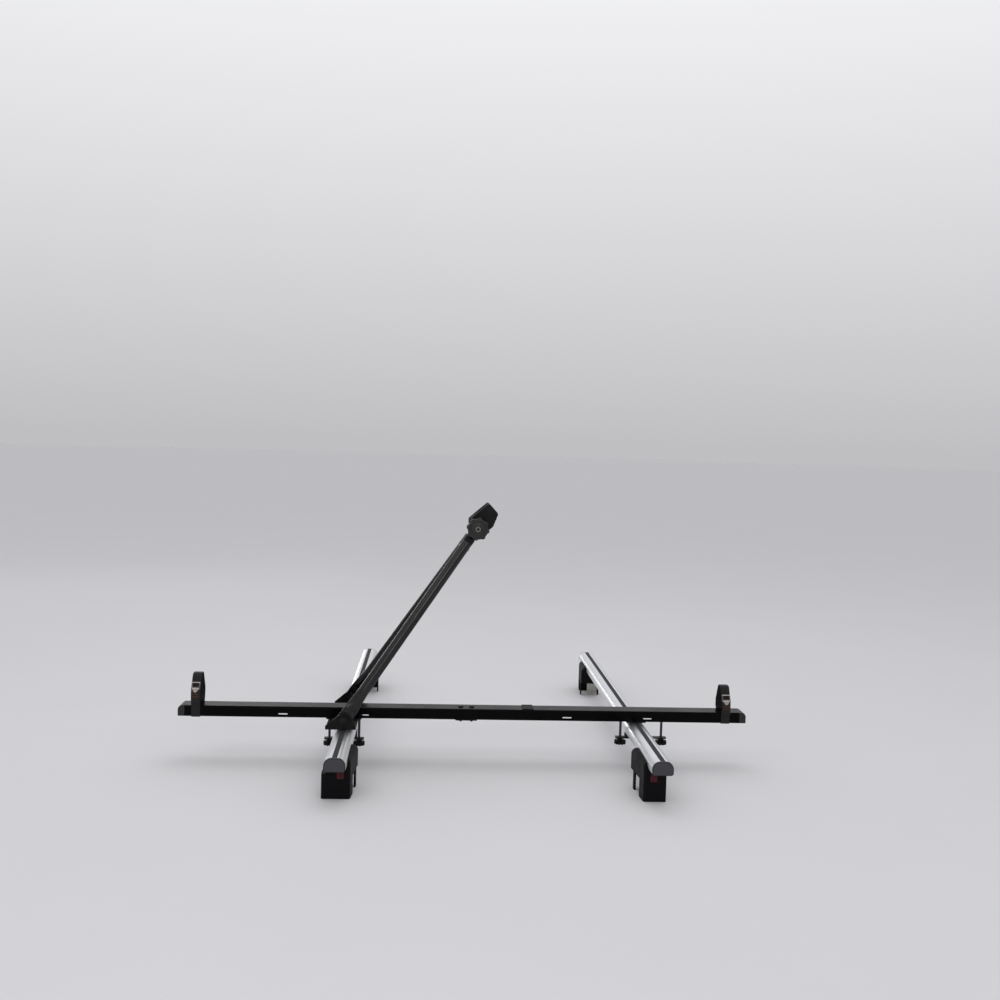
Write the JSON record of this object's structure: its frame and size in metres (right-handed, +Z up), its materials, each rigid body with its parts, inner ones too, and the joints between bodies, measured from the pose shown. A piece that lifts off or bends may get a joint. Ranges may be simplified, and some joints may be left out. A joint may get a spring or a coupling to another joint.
{
  "type": "roof mounted bike carrier",
  "caption": "Wheel rail with a folding A-frame arm and frame clamp, on two aluminium crossbars that stand on clamping roof feet.",
  "frame": {"origin": "on the plane the feet stand on, midway between the wheel rail's ends and between the crossbars' ends", "axes": "+X along the wheel rail from its front end to its rear end, +Y along the crossbars away from the side that carries the rail, +Z up"},
  "size_m": [1.35, 1.24, 0.6206],
  "materials": {
    "anodised_bar": "satin anodised",
    "black_rubber": "matt moulded",
    "cap_plastic": "fine textured",
    "black_steel": "gloss powder coat",
    "rail_cap_plastic": "moulded",
    "black_casting": "satin coat",
    "zinc_steel": "bright zinc plated",
    "black_bolt": "black oxide",
    "nylon_bush": "moulded",
    "knob_plastic": "spark eroded texture",
    "lock_barrel": "black oxide",
    "webbing": "woven",
    "foot_plastic": "spark eroded texture",
    "red_plastic": "moulded"
  },
  "bodies": {
    "bars": {"crossbar_front": "anodised_bar", "crossbar_rear": "anodised_bar", "bar_strips": "black_rubber", "bar_end_caps": "cap_plastic", "foot_pads": "black_rubber", "foot_housing_front_near": "foot_plastic", "foot_housing_front_far": "foot_plastic", "foot_housing_rear_near": "foot_plastic", "foot_housing_rear_far": "foot_plastic"},
    "carrier": {"rail_front_half": "black_steel", "rail_rear_half": "black_steel", "rail_joiner": "black_steel", "joiner_plate": "black_steel", "joiner_fasteners": "zinc_steel", "rail_end_caps": "rail_cap_plastic", "arm_rest_pad": "black_rubber", "base_bracket": "black_steel", "pivot_fasteners": "black_bolt", "pivot_bushes": "nylon_bush", "front_clamp_bolts": "black_bolt", "rear_clamp_bolts": "black_bolt", "rear_rail_pad": "black_rubber", "wheel_strap_front": "webbing", "wheel_strap_rear": "webbing", "buckle_frame_front": "zinc_steel", "buckle_frame_rear": "zinc_steel"},
    "arm": {"arm_leg_near": "black_steel", "arm_leg_far": "black_steel", "arm_yoke": "black_casting"},
    "head": {"far_jaw": "black_casting", "jaw_pad_far": "black_rubber", "clamp_bolt": "zinc_steel"},
    "near_jaw": {"near_jaw": "black_casting", "jaw_pad_near": "black_rubber"},
    "hand_knob": {"hand_knob": "knob_plastic"},
    "knob_lock": {"knob_lock": "lock_barrel"},
    "front_plate": {"front_clamp_plate": "black_steel", "front_clamp_block": "black_rubber"},
    "rear_plate": {"rear_clamp_plate": "black_steel", "rear_clamp_block": "black_rubber"},
    "front_knob_left": {"front_knob_left": "knob_plastic"},
    "front_knob_right": {"front_knob_right": "knob_plastic"},
    "rear_knob_left": {"rear_knob_left": "knob_plastic"},
    "rear_knob_right": {"rear_knob_right": "knob_plastic"},
    "tongue_front": {"buckle_tongue_front": "zinc_steel"},
    "tongue_rear": {"buckle_tongue_rear": "zinc_steel"},
    "foot_screw_front_near": {"foot_screw_front_near": "zinc_steel"},
    "foot_jaw_front_near": {"foot_jaw_front_near": "zinc_steel"},
    "foot_insert_front_near": {"foot_insert_front_near": "red_plastic"},
    "foot_screw_front_far": {"foot_screw_front_far": "zinc_steel"},
    "foot_jaw_front_far": {"foot_jaw_front_far": "zinc_steel"},
    "foot_insert_front_far": {"foot_insert_front_far": "red_plastic"},
    "foot_screw_rear_near": {"foot_screw_rear_near": "zinc_steel"},
    "foot_jaw_rear_near": {"foot_jaw_rear_near": "zinc_steel"},
    "foot_insert_rear_near": {"foot_insert_rear_near": "red_plastic"},
    "foot_screw_rear_far": {"foot_screw_rear_far": "zinc_steel"},
    "foot_jaw_rear_far": {"foot_jaw_rear_far": "zinc_steel"},
    "foot_insert_rear_far": {"foot_insert_rear_far": "red_plastic"}
  },
  "joints": [
    {"name": "carrier_slide", "type": "slide", "parent": "bars", "child": "carrier", "axis": [0, 1, 0], "range_m": [-0.12, 0.45]},
    {"name": "arm_fold", "type": "hinge", "parent": "carrier", "child": "arm", "pos_m": [-0.2803, -0.266, 0.1258], "axis": [0, 1, 0], "range_deg": [-49, 50]},
    {"name": "head_tilt", "type": "hinge", "parent": "arm", "child": "head", "pos_m": [0.01681, -0.266, 0.56216], "axis": [0, 1, 0], "range_deg": [-30, 30]},
    {"name": "jaw_slide", "type": "slide", "parent": "head", "child": "near_jaw", "axis": [0, -1, 0], "range_m": [0, 0.01]},
    {"name": "knob_spin", "type": "hinge", "parent": "near_jaw", "child": "hand_knob", "pos_m": [0.01681, -0.266, 0.56216], "axis": [0, -1, 0], "range_deg": [0, 2400]},
    {"name": "knob_lock_turn", "type": "hinge", "parent": "hand_knob", "child": "knob_lock", "pos_m": [0.01681, -0.266, 0.56216], "axis": [0, -1, 0], "range_deg": [0, 90]},
    {"name": "front_plate_slide", "type": "slide", "parent": "carrier", "child": "front_plate", "axis": [0, 0, -1], "range_m": [0, 0.006]},
    {"name": "front_knob_left_spin", "type": "hinge", "parent": "front_plate", "child": "front_knob_left", "pos_m": [-0.3225, -0.266, 0.05], "axis": [0, 0, -1], "range_deg": [0, 2160]},
    {"name": "front_knob_right_spin", "type": "hinge", "parent": "front_plate", "child": "front_knob_right", "pos_m": [-0.2525, -0.266, 0.05], "axis": [0, 0, -1], "range_deg": [0, 2160]},
    {"name": "rear_plate_slide", "type": "slide", "parent": "carrier", "child": "rear_plate", "axis": [0, 0, -1], "range_m": [0, 0.006]},
    {"name": "rear_knob_left_spin", "type": "hinge", "parent": "rear_plate", "child": "rear_knob_left", "pos_m": [0.3753, -0.266, 0.05], "axis": [0, 0, -1], "range_deg": [0, 2160]},
    {"name": "rear_knob_right_spin", "type": "hinge", "parent": "rear_plate", "child": "rear_knob_right", "pos_m": [0.4747, -0.266, 0.05], "axis": [0, 0, -1], "range_deg": [0, 2160]},
    {"name": "buckle_tongue_front_swing", "type": "hinge", "parent": "carrier", "child": "tongue_front", "pos_m": [-0.6325, -0.29733, 0.1726], "axis": [-1, 0, 0], "range_deg": [0, 100]},
    {"name": "buckle_tongue_rear_swing", "type": "hinge", "parent": "carrier", "child": "tongue_rear", "pos_m": [0.624, -0.29733, 0.1606], "axis": [-1, 0, 0], "range_deg": [0, 100]},
    {"name": "foot_screw_front_near_spin", "type": "hinge", "parent": "bars", "child": "foot_screw_front_near", "pos_m": [-0.28, -0.529, 0.054], "axis": [0, -1, 0], "range_deg": [0, 3456]},
    {"name": "foot_jaw_front_near_slide", "type": "slide", "parent": "bars", "child": "foot_jaw_front_near", "axis": [0, 1, 0], "range_m": [0, 0.012]},
    {"name": "foot_insert_front_near_turn", "type": "hinge", "parent": "bars", "child": "foot_insert_front_near", "pos_m": [-0.271, -0.565, 0.052], "axis": [0, -1, 0], "range_deg": [0, 90]},
    {"name": "foot_screw_front_far_spin", "type": "hinge", "parent": "bars", "child": "foot_screw_front_far", "pos_m": [-0.28, 0.529, 0.054], "axis": [0, 1, 0], "range_deg": [0, 3456]},
    {"name": "foot_jaw_front_far_slide", "type": "slide", "parent": "bars", "child": "foot_jaw_front_far", "axis": [0, -1, 0], "range_m": [0, 0.012]},
    {"name": "foot_insert_front_far_turn", "type": "hinge", "parent": "bars", "child": "foot_insert_front_far", "pos_m": [-0.271, 0.565, 0.052], "axis": [0, 1, 0], "range_deg": [0, 90]},
    {"name": "foot_screw_rear_near_spin", "type": "hinge", "parent": "bars", "child": "foot_screw_rear_near", "pos_m": [0.409, -0.529, 0.054], "axis": [0, -1, 0], "range_deg": [0, 3456]},
    {"name": "foot_jaw_rear_near_slide", "type": "slide", "parent": "bars", "child": "foot_jaw_rear_near", "axis": [0, 1, 0], "range_m": [0, 0.012]},
    {"name": "foot_insert_rear_near_turn", "type": "hinge", "parent": "bars", "child": "foot_insert_rear_near", "pos_m": [0.4, -0.565, 0.052], "axis": [0, -1, 0], "range_deg": [0, 90]},
    {"name": "foot_screw_rear_far_spin", "type": "hinge", "parent": "bars", "child": "foot_screw_rear_far", "pos_m": [0.409, 0.529, 0.054], "axis": [0, 1, 0], "range_deg": [0, 3456]},
    {"name": "foot_jaw_rear_far_slide", "type": "slide", "parent": "bars", "child": "foot_jaw_rear_far", "axis": [0, -1, 0], "range_m": [0, 0.012]},
    {"name": "foot_insert_rear_far_turn", "type": "hinge", "parent": "bars", "child": "foot_insert_rear_far", "pos_m": [0.4, 0.565, 0.052], "axis": [0, 1, 0], "range_deg": [0, 90]}
  ],
  "couplings": [
    {"joint": "knob_spin", "follows": "jaw_slide", "rad_per_m": 4188.7},
    {"joint": "front_knob_left_spin", "follows": "front_plate_slide", "rad_per_m": 6283},
    {"joint": "front_knob_right_spin", "follows": "front_plate_slide", "rad_per_m": 6283},
    {"joint": "rear_knob_left_spin", "follows": "rear_plate_slide", "rad_per_m": 6283},
    {"joint": "rear_knob_right_spin", "follows": "rear_plate_slide", "rad_per_m": 6283},
    {"joint": "foot_screw_front_near_spin", "follows": "foot_jaw_front_near_slide", "rad_per_m": 5026.5},
    {"joint": "foot_screw_front_far_spin", "follows": "foot_jaw_front_far_slide", "rad_per_m": 5026.5},
    {"joint": "foot_screw_rear_near_spin", "follows": "foot_jaw_rear_near_slide", "rad_per_m": 5026.5},
    {"joint": "foot_screw_rear_far_spin", "follows": "foot_jaw_rear_far_slide", "rad_per_m": 5026.5}
  ]
}
